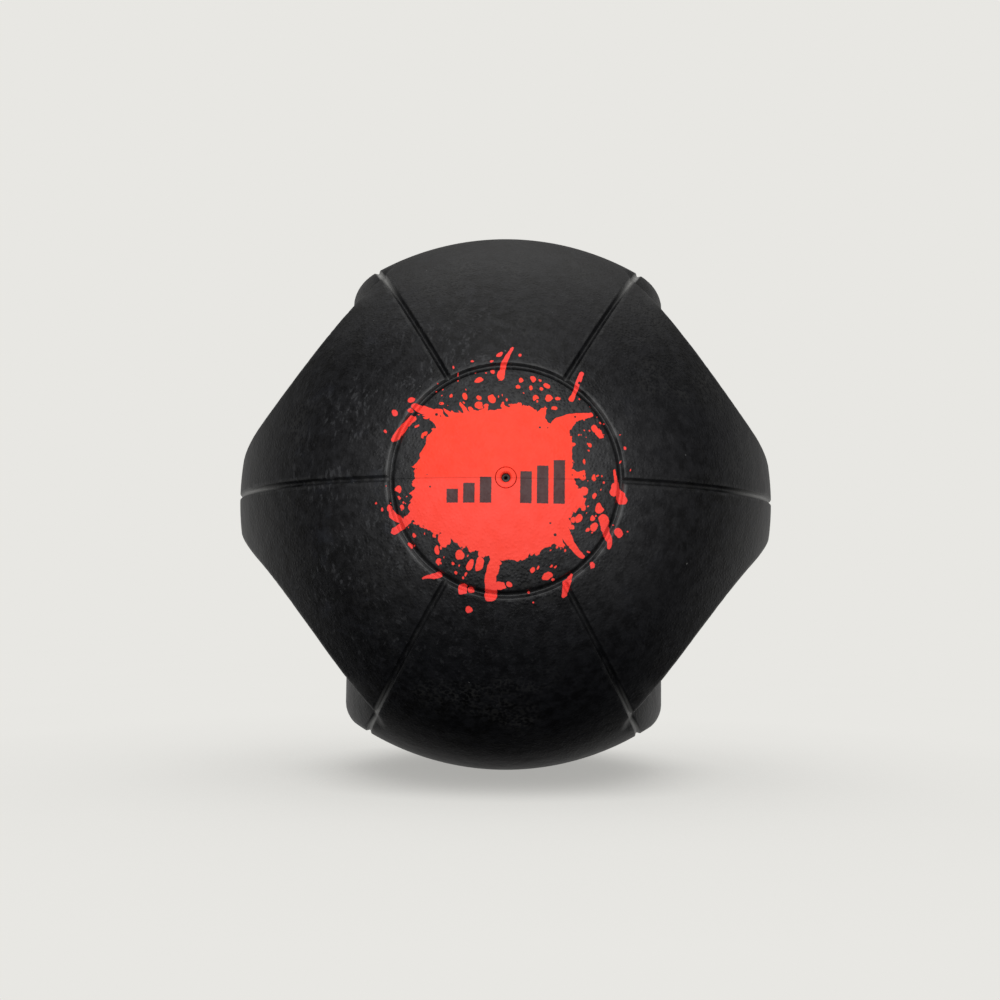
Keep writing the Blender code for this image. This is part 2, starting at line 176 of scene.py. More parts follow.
def surface_nets(field, low, high, spacing):
    """(points, quads) of the field's zero surface, with a point in each cell it crosses."""
    counts = np.ceil((np.array(high) - low) / spacing).astype(int) + 1
    axes = [low[i] + spacing * np.arange(counts[i]) for i in range(3)]
    grid = np.stack(np.meshgrid(*axes, indexing="ij"), -1).reshape(-1, 3)
    values = np.concatenate([field(part) for part in np.array_split(grid, 12)]).reshape(counts)
    inside = values < 0
    cells = counts - 1
    total, hits = np.zeros((*cells, 3)), np.zeros(cells)
    edges = []
    for axis in range(3):
        first = [slice(None)] * 3
        second = [slice(None)] * 3
        first[axis], second[axis] = slice(None, -1), slice(1, None)
        first, second = tuple(first), tuple(second)
        crossing = inside[first] != inside[second]
        before, after = values[first][crossing], values[second][crossing]
        start = np.argwhere(crossing)
        place = start.astype(float)
        place[:, axis] += before / (before - after)
        side, up = [(1, 2), (2, 0), (0, 1)][axis]
        ring = []
        for side_step, up_step in ((0, 0), (1, 0), (1, 1), (0, 1)):
            cell = start.copy()
            cell[:, side] -= side_step
            cell[:, up] -= up_step
            ring.append(cell)
            good = ((cell >= 0) & (cell < cells)).all(1)
            np.add.at(total, tuple(cell[good].T), place[good])
            np.add.at(hits, tuple(cell[good].T), 1)
        edges.append((ring, inside[first][crossing]))
    ids = np.full(cells, -1)
    active = hits > 0
    ids[active] = np.arange(active.sum())
    points = total[active] / hits[active][:, None] * spacing + low
    quads = []
    for ring, starts_inside in edges:
        corners = stacked(*(ids[tuple(np.clip(cell, 0, cells - 1).T)] for cell in ring))
        corners[~starts_inside] = corners[~starts_inside][:, ::-1]
        quads.append(corners)
    return points, np.concatenate(quads)


def relaxed(field, points, quads, rounds):
    """Spreads the points evenly over the surface."""
    here = [quads[:, i] for i in range(4)]
    after = [quads[:, (i + 1) % 4] for i in range(4)]
    start, end = np.concatenate(here + after), np.concatenate(after + here)
    size = len(points)
    degree = np.bincount(start, minlength=size)[:, None]
    for _ in range(rounds):
        sums = [np.bincount(start, weights=points[end, i], minlength=size) for i in range(3)]
        points = project(field, points + 0.6 * (stacked(*sums) / degree - points), 1)
    return project(field, points, 3)


def triangles_of(points, quads):
    """Each quad cut along its shorter diagonal."""
    corners = points[quads]
    one = np.linalg.norm(corners[:, 0] - corners[:, 2], axis=1)
    other = np.linalg.norm(corners[:, 1] - corners[:, 3], axis=1)
    near, far = quads[one <= other], quads[one > other]
    parts = near[:, [0, 1, 2]], near[:, [0, 2, 3]], far[:, [0, 1, 3]], far[:, [1, 2, 3]]
    return np.concatenate(parts)


def sides_of(faces):
    return np.concatenate([faces[:, [0, 1]], faces[:, [1, 2]], faces[:, [2, 0]]])


def cut_level(points, faces, field, level=0.0, where=None, snap=0.05):
    """Adds an edge line where the field crosses the level, between points chosen by where."""
    height = field(points) - level
    height[np.abs(height) < snap] = 0.0
    sides = sides_of(faces)
    size = len(points)
    keys = sides.min(1).astype(np.int64) * size + sides.max(1)
    unique, index = np.unique(keys, return_inverse=True)
    start, end = (unique // size).astype(int), (unique % size).astype(int)
    crossing = height[start] * height[end] < 0
    if where is not None:
        keep = where(points)
        crossing &= keep[start] & keep[end]
    new_id = np.full(len(unique), -1)
    new_id[crossing] = size + np.arange(crossing.sum())
    start, end = start[crossing], end[crossing]
    share = (height[start] / (height[start] - height[end]))[:, None]
    points = np.concatenate([points, points[start] * (1 - share) + points[end] * share])
    middles = new_id[index.reshape(3, -1).T]
    cuts = (middles >= 0).sum(1)
    out = [faces[cuts == 0]]
    for shift in range(3):
        turned = np.roll(faces, -shift, 1)
        middle = np.roll(middles, -shift, 1)
        one = (cuts == 1) & (middle[:, 0] >= 0)
        first, second, third = turned[one].T
        cut = middle[one, 0]
        out += [stacked(first, cut, third), stacked(cut, second, third)]
        two = (cuts == 2) & (middle[:, 0] >= 0) & (middle[:, 2] >= 0)
        first, second, third = turned[two].T
        cut, last_cut = middle[two, 0], middle[two, 2]
        out.append(stacked(first, cut, last_cut))
        out.append(triangles_of(points, stacked(cut, second, third, last_cut)))
    first, second, third = faces[cuts == 3].T
    cut, next_cut, last_cut = middles[cuts == 3].T
    out += [
        stacked(first, cut, last_cut),
        stacked(cut, second, next_cut),
        stacked(last_cut, next_cut, third),
        stacked(cut, next_cut, last_cut),
    ]
    return points, np.concatenate(out)


# --- Grooves: a ring round each disc, and lines running out from it every 60 degrees ---


def axis_distance(points):
    return np.hypot(points[:, 0], points[:, 2])


def centre_distance(points):
    return np.linalg.norm(points, axis=1)


def disc_distance(points):
    return axis_distance(points) - DISC_R


def plane_distance(index):
    angle = math.radians(60.0 * index)
    sine, cosine = math.sin(angle), math.cos(angle)
    return lambda points: points[:, 2] * cosine - points[:, 0] * sine


def groove_shape(distance, half):
    share = np.clip(np.abs(distance) / half, 0, 1)
    return (0.5 + 0.5 * np.cos(np.pi * share)) ** 0.8


def depth_field(points):
    """How far the moulded grooves go below the base surface."""
    out = disc_distance(points)
    ring = RING_DEPTH * groove_shape(out, RING_HALF)
    # the lines fade away inside the openings, and are shallower far from the valve's axis
    on_skin = smooth_step(BALL_R - 5.2, BALL_R - 1.2, centre_distance(points))
    far = smooth_step(112.0, 132.0, axis_distance(points))
    radial = np.zeros(len(points))
    for i in range(3):
        line = GROOVE_DEPTH * groove_shape(plane_distance(i)(points), GROOVE_HALF)
        radial = np.maximum(radial, line)
    radial = radial * smooth_step(-0.5, 1.0, out) * on_skin * (1 - 0.35 * far)
    return np.maximum(ring, radial)


def grooved_field(points):
    return base_field(points) + depth_field(points)


# --- The skin's mesh, with edge lines along every groove and border ---

SPACING = 2.6
GROOVE_LINES = np.linspace(-1, 1, 13)
GRID_REACH = BALL_R + 6.0
VALVE_RAYS = 24  # lines through the valve's axis
VALVE_RINGS = (7.6, 5.6, VALVE_HOLE_R)
VALVE_SNAP = 0.02


def near_disc(points):
    return disc_distance(points) < RING_HALF + 6


def outside_disc(points):
    return (disc_distance(points) > -2.5) & (centre_distance(points) > BALL_R - 6.5)


def near_valve(points):
    return (axis_distance(points) < VALVE_HOLE_R + 8) & (points[:, 1] < 0)


def skin_mesh():
    """(points, triangles) of the base surface."""
    points, quads = surface_nets(
        base_field, np.array([-GRID_REACH] * 3), np.array([GRID_REACH] * 3), SPACING
    )
    points = project(base_field, points, 5)
    points = relaxed(base_field, points, quads, 6)
    faces = triangles_of(points, quads)
    for line in GROOVE_LINES:
        level = RING_HALF * float(line)
        points, faces = cut_level(points, faces, disc_distance, level, near_disc)
    points, faces = cut_level(points, faces, centre_distance, LINER_FROM)
    points, faces = cut_level(points, faces, plane_distance(0))
    for i in range(VALVE_RAYS):
        turn = math.radians(7.5 * i + 3.75)
        across = np.array([-math.sin(turn), 0.0, math.cos(turn)])
        points, faces = cut_level(
            points, faces, lambda places: places @ across, 0.0, near_valve, VALVE_SNAP
        )
    for radius in VALVE_RINGS:
        points, faces = cut_level(points, faces, axis_distance, radius, near_valve, VALVE_SNAP)
    for i in range(3):
        for line in GROOVE_LINES:
            level = GROOVE_HALF * float(line)
            points, faces = cut_level(points, faces, plane_distance(i), level, outside_disc)
    return project(base_field, points, 3), faces


def curvature_at(points, reach=0.8):
    total = np.zeros(len(points))
    for i in range(3):
        offset = np.zeros(3)
        offset[i] = reach
        ahead = unit(gradient(base_field, points + offset))[:, i]
        behind = unit(gradient(base_field, points - offset))[:, i]
        total += (ahead - behind) / (2 * reach)
    return total


points, faces = skin_mesh()
normals = unit(gradient(base_field, points))
outer = points - normals * depth_field(points)[:, None]
inner = points - normals * COVER_T
outer_normals = unit(gradient(grooved_field, outer, 0.08))
edge_wear = smooth_step(0.05, 0.17, curvature_at(points))

# --- The skin's pieces ---

# Discs, then panels counter-clockwise from the right as seen from the front, then liners
REGIONS = (
    "front_disc",
    "rear_disc",
    "upper_right_panel",
    "top_panel",
    "upper_left_panel",
    "lower_left_panel",
    "bottom_panel",
    "lower_right_panel",
    "upper_right_opening_liner",
    "upper_left_opening_liner",
    "lower_right_opening_liner",
    "lower_left_opening_liner",
)
FIRST_PANEL, FIRST_LINER = 2, 8
SIDE_PANELS = (2, 4, 5, 7)
# In the side panels, liner also reaches out to here round Z, above and below this height
LINER_R, LINER_Z = 88.0, 60


def region_of(centres):
    """The place in REGIONS of each triangle's centre."""
    x, y, z = centres.T
    region = FIRST_PANEL + (np.degrees(np.arctan2(z, x)) % 360 // 60).astype(int)
    near_barrel = (np.hypot(x, y) < LINER_R) & np.isin(region, SIDE_PANELS)
    liner = (centre_distance(centres) < LINER_FROM) | (near_barrel & (np.abs(z) > LINER_Z))
    region[liner] = (FIRST_LINER + (x < 0) + 2 * (z < 0))[liner]
    disc = np.hypot(x, z) < DISC_R
    region[disc & (y < 0)] = 0
    region[disc & (y > 0)] = 1
    return region


collection = bpy.data.collections.new("ball_looks")
bpy.context.scene.collection.children.link(collection)


def new_object(name, coordinates, polygons, smooth=True, loop_normals=None):
    """A mesh object from millimetre coordinates; all polygons have the same corner count."""
    mesh = bpy.data.meshes.new(name)
    count, corners = polygons.shape
    metres = (np.asarray(coordinates) / 1000.0).astype(np.float32)
    mesh.vertices.add(len(coordinates))
    mesh.vertices.foreach_set("co", metres.ravel())
    mesh.loops.add(polygons.size)
    mesh.loops.foreach_set("vertex_index", polygons.astype(np.int32).ravel())
    mesh.polygons.add(count)
    mesh.polygons.foreach_set("loop_start", (np.arange(count) * corners).astype(np.int32))
    mesh.polygons.foreach_set("loop_total", np.full(count, corners, np.int32))
    mesh.polygons.foreach_set("use_smooth", np.full(count, smooth))
    mesh.update(calc_edges=True)
    mesh.validate()
    if loop_normals is not None:
        mesh.normals_split_custom_set(loop_normals.astype(np.float32))
    obj = bpy.data.objects.new(name, mesh)
    collection.objects.link(obj)
    return obj


def skin_piece(name, triangles):
    """A closed shell: the moulded outside, the inside face and the walls round its border."""
    used, local = np.unique(triangles, return_inverse=True)
    local = local.reshape(-1, 3)
    size, count = len(used), len(local)
    sides = sides_of(local)
    keys = sides[:, 0].astype(np.int64) * size + sides[:, 1]
    reverse_keys = sides[:, 1].astype(np.int64) * size + sides[:, 0]
    start, end = sides[~np.isin(keys, reverse_keys)].T
    inside = local[:, ::-1]
    walls = [stacked(end, start, start + size), stacked(end, start + size, end + size)]
    polygons = np.concatenate([local, inside + size, *walls])
    # the walls are given no normals, so that theirs are worked out
    given = np.zeros((len(polygons), 3, 3))
    given[:count] = outer_normals[used][local]
    given[count : 2 * count] = -normals[used][inside]
    coordinates = np.concatenate([outer[used], inner[used]])
    obj = new_object(name, coordinates, polygons, True, given.reshape(-1, 3))
    wear = obj.data.attributes.new("edge_wear", "FLOAT", "POINT")
    wear.data.foreach_set("value", np.concatenate([edge_wear[used]] * 2).astype(np.float32))
    return obj


centres = points[faces].mean(1)
triangle_region = region_of(centres)
in_valve = near_valve(centres) & (axis_distance(centres) < VALVE_HOLE_R - 0.02)
triangle_region[in_valve] = -1
pieces = {}
for i, name in enumerate(REGIONS):
    piece = skin_piece(name + "_moulded", faces[triangle_region == i])
    pieces[name] = piece
    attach(piece, "root")
    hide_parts(name)

# --- Pieces turned about the valve's axis ---

FINE = 96
BLADDER_R, BLADDER_INNER_R, BLADDER_HOLE_R = 54.0, 52.0, 4.8
PATCH_R, PATCH_FULL_R, PATCH_RISE = 17.0, 11.5, 0.026  # the rise is a share of the radius
WINDING_R, WINDING_INNER_R, WINDING_HOLE_R = 57.2, 54.35, 4.9
THREADS, THREAD_HALF, THREAD_H, THREAD_PILE = 150, 1.15, 0.42, 0.30
THREAD_PATH_R = 57.0


def rounded(profile, radius, steps=4):
    """The closed profile with its corners rounded; a point on the axis stays as it is."""
    out = []
    for i, point in enumerate(profile):
        before, here, after = (
            np.array(profile[(i + shift) % len(profile)], float) for shift in (-1, 0, 1)
        )
        if here[0] < 1e-6:
            out.append(tuple(here))
            continue
        back, ahead = before - here, after - here
        back_length, ahead_length = np.linalg.norm(back), np.linalg.norm(ahead)
        cut = min(radius, 0.4 * back_length, 0.4 * ahead_length)
        start, end = here + back / back_length * cut, here + ahead / ahead_length * cut
        for t in np.linspace(0, 1, steps + 1):
            out.append(tuple((1 - t) ** 2 * start + 2 * t * (1 - t) * here + t * t * end))
    return out


def closed_object(name, coordinates, triangles, sharp=35.0):
    """A closed mesh with its faces turned outwards and edges above the sharp angle kept."""
    corners = coordinates[triangles]
    volume = np.einsum("ij,ij->i", corners[:, 0], np.cross(corners[:, 1], corners[:, 2])).sum()
    obj = new_object(name, coordinates, triangles if volume > 0 else triangles[:, ::-1])
    obj.data.set_sharp_from_angle(angle=math.radians(sharp))
    return obj


def turned_mesh(profile, segments):
    """(points, triangles) of a closed (radius, distance to the front) profile turned about Y."""
    rings, rows = [], []
    count = 0
    angles = 2 * np.pi * np.arange(segments) / segments
    for radius, front in profile:
        if radius < 1e-6:
            rings.append(np.full(segments, count))
            rows.append([(0.0, -front, 0.0)])
            count += 1
        else:
            rings.append(count + np.arange(segments))
            y = np.full(segments, -front)
            rows.append(stacked(radius * np.cos(angles), y, radius * np.sin(angles)))
            count += segments
    triangles = []
    for ring, other in zip(rings, rings[1:] + rings[:1]):
        across = np.roll(other, -1)
        triangles += [stacked(ring, np.roll(ring, -1), across), stacked(ring, across, other)]
    triangles = np.concatenate(triangles)
    has_area = (triangles != np.roll(triangles, 1, 1)).all(1)
    return np.concatenate(rows), triangles[has_area]


def at_face(radius):
    """The profile point on the ball's face at this distance from the valve's axis."""
    return radius, math.sqrt((BALL_R - 0.06) ** 2 - radius * radius)


def valve_body():
    # (radius, distance to the front): bore, plug chamber and mouth, head, two ribs, flange
    profile = [
        (1.0, 46.6), (1.0, 106.0), (2.7, 106.0), (2.7, 136.4), (1.9, 137.8), (1.95, 139.2),
        at_face(2.7), at_face(3.6), at_face(VALVE_HEAD_R),
        (VALVE_HEAD_R, 98.0), (6.4, 97.3), (6.4, 94.7), (VALVE_HEAD_R, 94.0),
        (VALVE_HEAD_R, 74.0), (6.4, 73.3), (6.4, 70.7), (VALVE_HEAD_R, 70.0),
        (VALVE_HEAD_R, 49.4), (10.6, 48.3), (10.9, 46.7),
    ]
    return closed_object("valve_body_turned", *turned_mesh(rounded(profile, 0.45), FINE))


def valve_plug():
    # (radius, distance to the front)
    profile = [
        (0.0, 130.2), (0.5, 131.2), (0.7, 137.2), (1.2, 137.7),
        (1.7, 137.6), (2.4, 136.0), (2.4, 106.4), (0.0, 106.4),
    ]
    return closed_object("valve_core_turned", *turned_mesh(rounded(profile, 0.25), FINE // 2))


def arc(radius, start, end, count):
    angles = np.linspace(start, end, count)
    return [(max(radius * math.sin(angle), 0.0), radius * math.cos(angle)) for angle in angles]


def hollow_ball(outer_r, inner_r, hole_r, outer_rows):
    """The outside and inside profiles of a hollow ball with a round hole at the front."""
    outside = arc(outer_r, math.asin(hole_r / outer_r), math.pi, outer_rows)[:-1]
    inside = arc(inner_r, math.pi, math.asin(hole_r / inner_r), FINE + 1)[1:]
    return outside + [(0.0, -outer_r)], [(0.0, -inner_r)] + inside


def bladder_ball():
    """A hollow ball with a thicker patch round the valve's flange."""
    outside, inside = hollow_ball(BLADDER_R, BLADDER_INNER_R, BLADDER_HOLE_R, FINE + 1)
    patched = []
    for radius, front in inside:
        if front > 0 and radius < PATCH_R:
            rise = float(smooth_step(PATCH_R, PATCH_FULL_R, np.array(radius)))
            front *= 1.0 - PATCH_RISE * rise
        patched.append((radius, front))
    return closed_object("bladder_moulded", *turned_mesh(outside + patched, FINE * 2))


def thread_winding():
    """Thread laid round the bladder along many great circles, one over another."""
    outside, inside = hollow_ball(WINDING_R, WINDING_INNER_R, WINDING_HOLE_R, (FINE + 1) * 2)
    shell, triangles = turned_mesh(outside + inside, FINE * 4)
    rng = np.random.default_rng(7)
    outward = unit(shell)
    lay = np.zeros(len(shell))
    for i in range(THREADS):
        normal = unit(rng.normal(size=(1, 3)))[0]
        away = np.abs(outward @ normal) * THREAD_PATH_R
        level = THREAD_PILE * i / THREADS
        thread = THREAD_H * np.sqrt(np.clip(1 - (away / THREAD_HALF) ** 2, 0, 1))
        lay = np.maximum(lay, (level + thread) * (away < THREAD_HALF))
    on_outside = centre_distance(shell) > 56.5
    # the thread flattens out towards the valve's hole
    clear = np.clip(smooth_step(5.2, 7.5, axis_distance(shell)) + (shell[:, 1] > 0), 0, 1)
    shell = shell + outward * (lay * on_outside * clear)[:, None]
    return closed_object("winding_laid", shell, triangles, 80.0)


# --- Grip cores ---

CORE_ARC_R = 125.5
CORE_HALF = math.radians(36.0)
CORE_R, CORE_HEAD_EXTRA = 6.0, 2.5
CORE_TIP, CORE_TIP_DROP = 3.5, 3.0  # length of the rounding at each tip, and how much it takes
STRANDS, STRAND_PITCH, STRAND_H = 8, 2.6, 0.32


def grip_core(name, side):
    """A cord rod bent along the grip, with a round head at each end and spiral strands."""
    stations, around = FINE * 3, FINE // 2
    share = np.linspace(-1, 1, stations)
    along = CORE_HALF * CORE_ARC_R * share
    to_end = (1 - np.abs(share)) * CORE_HALF * CORE_ARC_R
    radius = CORE_R + CORE_HEAD_EXTRA * smooth_step(14.0, 7.0, to_end)
    tip = np.clip(to_end / CORE_TIP, 0, 1)
    tip_round = np.sqrt(np.maximum(1 - (1 - tip) ** 2, 0))
    radius = radius - CORE_TIP_DROP + CORE_TIP_DROP * tip_round
    turn = 2 * np.pi * np.arange(around) / around
    phase = turn[None, :] * STRANDS + along[:, None] / STRAND_PITCH
    on_rod = smooth_step(2.0, 5.0, to_end)[:, None]
    strands = STRAND_H * (np.abs(np.cos(phase / 2)) - 0.7) * on_rod
    radii = np.maximum(radius[:, None] + strands - 0.3, 0.5)
    angle = CORE_HALF * share
    out = stacked(side * np.cos(angle), np.sin(angle), np.zeros(stations))
    centre = CORE_ARC_R * out
    grid = centre[:, None] + radii[..., None] * (
        np.cos(turn)[None, :, None] * out[:, None]
        + np.sin(turn)[None, :, None] * np.array([0, 0, 1.0])
    )
    coordinates = np.concatenate([grid.reshape(-1, 3), centre[[0, -1]]])
    size = stations * around
    index = np.arange(size).reshape(stations, around)
    ring, other = index[:-1], index[1:]
    beside, across = np.roll(ring, -1, 1), np.roll(other, -1, 1)
    first, last = index[0], index[-1]
    triangles = [
        np.stack([ring, beside, across], -1).reshape(-1, 3),
        np.stack([ring, across, other], -1).reshape(-1, 3),
        stacked(np.roll(first, -1), first, np.full(around, size)),
        stacked(last, np.roll(last, -1), np.full(around, size + 1)),
    ]
    return closed_object(name, coordinates, np.concatenate(triangles), 60.0)


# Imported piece: (its detailed object, its material slot)
inside_pieces = {
    "valve_body": (valve_body(), "valve_rubber"),
    "valve_core": (valve_plug(), "valve_plug_rubber"),
    "bladder": (bladder_ball(), "butyl"),
    "winding": (thread_winding(), "nylon_thread"),
    "left_grip_core": (grip_core("left_grip_core_laid", side=-1), "cord_rubber"),
    "right_grip_core": (grip_core("right_grip_core_laid", side=1), "cord_rubber"),
}
for node, (obj, slot) in inside_pieces.items():
    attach(obj, "root")
    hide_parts(node)

# --- Building shader nodes ---


def operator(operation):
    return lambda self, other=0.0: self.tree.math(operation, self, other)


class Value:
    """A shader node's output. Arithmetic and comparisons on it add Math nodes."""

    def __init__(self, tree, socket):
        self.tree, self.socket = tree, socket

    __add__ = operator("ADD")
    __sub__ = operator("SUBTRACT")
    __mul__ = operator("MULTIPLY")
    __lt__ = operator("LESS_THAN")
    __gt__ = operator("GREATER_THAN")
    __abs__ = operator("ABSOLUTE")
    least = operator("MINIMUM")
    most = operator("MAXIMUM")

    def __rsub__(self, other):
        return self.tree.math("SUBTRACT", other, self)

    def scaled(self, by, plus):
        return self.tree.math("MULTIPLY_ADD", self, by, plus)

    def step(self, over, to=(0.0, 1.0)):
        """Goes smoothly between the two values of to, as this goes between those of over."""
        return self.tree.output(
            "MapRange", (self, *over, *to), interpolation_type="SMOOTHSTEP"
        )


class Tree:
    """The cleared node tree of a material or the world, with short calls that add nodes."""

    def __init__(self, owner):
        owner.use_nodes = True
        self.owner = owner
        self.nodes, self.links = owner.node_tree.nodes, owner.node_tree.links
        self.nodes.clear()

    def node(self, kind, inputs=(), **settings):
        """A new node; inputs are in order, or by name in a dict."""
        made = self.nodes.new("ShaderNode" + kind)
        for key, value in settings.items():
            setattr(made, key, value)
        for key, value in inputs.items() if isinstance(inputs, dict) else enumerate(inputs):
            if isinstance(value, Value):
                self.links.new(value.socket, made.inputs[key])
            else:
                made.inputs[key].default_value = value
        return made

    def output(self, kind, inputs=(), output=0, **settings):
        return Value(self, self.node(kind, inputs, **settings).outputs[output])

    def math(self, operation, one, two=0.0, three=0.0, clamp=False):
        return self.output("Math", (one, two, three), operation=operation, use_clamp=clamp)

    def parts(self, vector):
        made = self.node("SeparateXYZ", [vector])
        return [Value(self, socket) for socket in made.outputs]


class Shading(Tree):
    """A new material's tree. Positions are in millimetres."""

    def __init__(self, name):
        super().__init__(bpy.data.materials.new(name))
        metres = self.output("TexCoord", output="Object")
        self.point = self.vector("SCALE", metres, scale=1000.0)

    def vector(self, operation, one, two=(0, 0, 0), three=(0, 0, 0), scale=None):
        inputs = {0: one, 1: two, 2: three}
        if scale is not None:
            inputs["Scale"] = scale
        output = "Value" if operation in ("DOT_PRODUCT", "LENGTH") else "Vector"
        return self.output("VectorMath", inputs, output, operation=operation)

    def joined(self, x, y):
        return self.output("CombineXYZ", (x, y, 0.0))

    def noise(self, size, detail=2.0, rough=0.5, seed=0.0, at=None, colour=False):
        inputs = {
            "Vector": at or self.point,
            "W": seed,
            "Scale": 1.0 / size,
            "Detail": detail,
            "Roughness": rough,
        }
        output = "Color" if colour else "Fac"
        return self.output("TexNoise", inputs, output, noise_dimensions="4D")

    def cells(self, size, at=None, dimensions="3D"):
        """Random cells: their Distance, Color and Position outputs by name."""
        inputs = {"Vector": at or self.point, "Scale": 1.0 / size}
        made = self.node("TexVoronoi", inputs, voronoi_dimensions=dimensions)
        return {name: Value(self, made.outputs[name]) for name in ("Distance", "Color", "Position")}

    def mix(self, base, paint, share):
        colours = [(*each, 1.0) if isinstance(each, tuple) else each for each in (base, paint)]
        inputs = {0: share, 6: colours[0], 7: colours[1]}
        return self.output("Mix", inputs, 2, data_type="RGBA")

    def finish(self, colour, roughness, height, specular=0.35, sheen=0.0):
        """Colour, roughness and a height in millimetres into the surface."""
        inputs = {
            "Base Color": colour,
            "Roughness": roughness,
            "Specular IOR Level": specular,
            "Sheen Weight": sheen,
            "Normal": self.output("Bump", {"Height": height, "Distance": 0.001}),
        }
        self.node("OutputMaterial", [self.output("BsdfPrincipled", inputs)])
        return self.owner


# --- The print: a paint splash with a solid middle. A mark of six rising bars is left open in
# it, three on each side of the valve. Places are (x, z). ---

CORE_INK_R = 35.0
CORE_CENTRE = (-4.8, -1.0)
BAR_W, BAR_PITCH, BAR_FROM = 5.0, 7.2, 6.2
BAR_FOOT, BAR_LOW, BAR_STEP = -11.0, 6.0, 2.6
PINHOLE_CELL = 5.2
# How far the splash's outline wanders: (reach, noise size, detail, seed)
INK_BENDS = ((15.0, 24.0, 1.0, 3.7), (2.0, 3.2, 2.0, 8.1))
# Drops: (cell size, smallest and largest radius, pattern shift, chance by the middle, reach)
INK_DROPS = (
    (5.0, 0.5, 1.9, 31.0, 0.8, 60.0),
    (8.6, 1.3, 3.1, 77.0, 0.95, 66.0),
    (3.0, 0.25, 0.8, 53.0, 0.35, 66.0),
)
# Strokes: (count, then ranges of start distance, length, fat and thin end radius, then lean)
INK_STROKES = (
    (5, (32.0, 35.0), (14.0, 20.0), (2.0, 3.4), (1.2, 2.0), 0.5),
    (8, (46.0, 54.0), (5.0, 14.0), (1.5, 2.9), (0.5, 1.1), 1.2),
)
# Half the width of each soft edge
CORE_EDGE, DROP_EDGE, HOLE_EDGE = (-0.15, 0.15), (-0.12, 0.12), (-0.1, 0.1)


def strokes(seed):
    """Tapering arms and dabs thrown outwards: (start, end, start radius, end radius)."""
    random = np.random.default_rng(seed)
    out = []
    for count, start, length, fat, thin, lean in INK_STROKES:
        first = random.uniform(0, 2 * math.pi)
        for i in range(count):
            angle = first + 2 * math.pi * (i + random.uniform(-0.35, 0.35)) / count
            begin = np.array([math.cos(angle), math.sin(angle)]) * random.uniform(*start)
            turn = angle + random.uniform(-lean, lean)
            heading = np.array([math.cos(turn), math.sin(turn)])
            end = begin + random.uniform(*length) * heading
            fat_r, thin_r = random.uniform(*fat), random.uniform(*thin)
            radii = (fat_r, thin_r) if random.random() < 0.5 else (thin_r, fat_r)
            out.append((begin, end, *radii))
    return out


def ink_core(mat, bent):
    """The solid middle: a rounded square with lobes, fingers and a ragged edge."""
    from_core = mat.vector("SUBTRACT", bent, (*CORE_CENTRE, 0.0))
    side = mat.vector("ABSOLUTE", from_core)
    cube = mat.vector("MULTIPLY", mat.vector("MULTIPLY", side, side), side)
    square = mat.math("POWER", mat.vector("DOT_PRODUCT", cube, (1.0, 1.0, 0.0)), 1.0 / 3.0)
    radius = (square + mat.vector("LENGTH", from_core)) * 0.5
    ray = mat.vector("NORMALIZE", from_core)
    lobes = (mat.noise(at=ray, size=0.8, detail=1.0, seed=1.3) - 0.5) * 9.0
    fingers = mat.noise(at=ray, size=0.16, detail=1.0, seed=5.9).step(over=(0.50, 0.72)) * 6.0
    ragged = (mat.noise(at=bent, size=2.6, seed=2.2) - 0.5) * 5.0
    edge = lobes + fingers + ragged + (CORE_INK_R - 1.2)
    return (edge - radius).step(over=CORE_EDGE)


def ink_drops(mat, bent, size, small, large, shift, chance_near, reach):
    """Round drops, fewer further out and along some directions."""
    offset = (shift, -0.7 * shift, 0.0)
    cell = mat.cells(at=mat.vector("ADD", bent, offset), size=size, dimensions="2D")
    red, green, _ = mat.parts(cell["Color"])
    centre = mat.vector("SUBTRACT", cell["Position"], offset)
    away = mat.vector("LENGTH", centre)
    ray = mat.vector("NORMALIZE", centre)
    spray = mat.noise(at=ray, size=0.55, detail=1.0, seed=shift)
    spray = spray.step(over=(0.38, 0.60), to=(0.12, 1.0))
    chance = away.step(over=(CORE_INK_R, reach), to=(chance_near, 0.0)) * spray
    radius = (red * red).scaled(large - small, plus=small)
    gap = radius - cell["Distance"] * size
    return gap.step(over=DROP_EDGE) * (green < chance)


def ink_stroke(mat, bent, start, end, start_r, end_r):
    from_start = mat.vector("SUBTRACT", bent, (start[0], start[1], 0.0))
    run = end - start
    scale = 1.0 / float(run @ run)
    run_vector = (run[0], run[1], 0.0)
    along = mat.vector("DOT_PRODUCT", from_start, run_vector)
    share = mat.math("MULTIPLY", along, scale, clamp=True)
    nearest = mat.vector("SCALE", run_vector, scale=share)
    off = mat.vector("LENGTH", mat.vector("SUBTRACT", from_start, nearest))
    return (share.scaled(end_r - start_r, plus=start_r) - off).step(over=DROP_EDGE)


def pinholes(mat, flat):
    """Small ragged gaps, most of them towards the splash's rim."""
    at = mat.vector("ADD", flat, (9.0, 4.0, 0.0))
    hole = mat.cells(at=at, size=PINHOLE_CELL, dimensions="2D")
    red, green, _ = mat.parts(hole["Color"])
    radius = red.scaled(0.6, plus=0.15) + (mat.noise(at=flat, size=0.9, seed=4.4) - 0.5) * 0.5
    chance = mat.vector("LENGTH", flat).step(over=(20.0, CORE_INK_R), to=(0.0, 0.2))
    return (radius - hole["Distance"] * PINHOLE_CELL).step(over=HOLE_EDGE) * (green < chance)


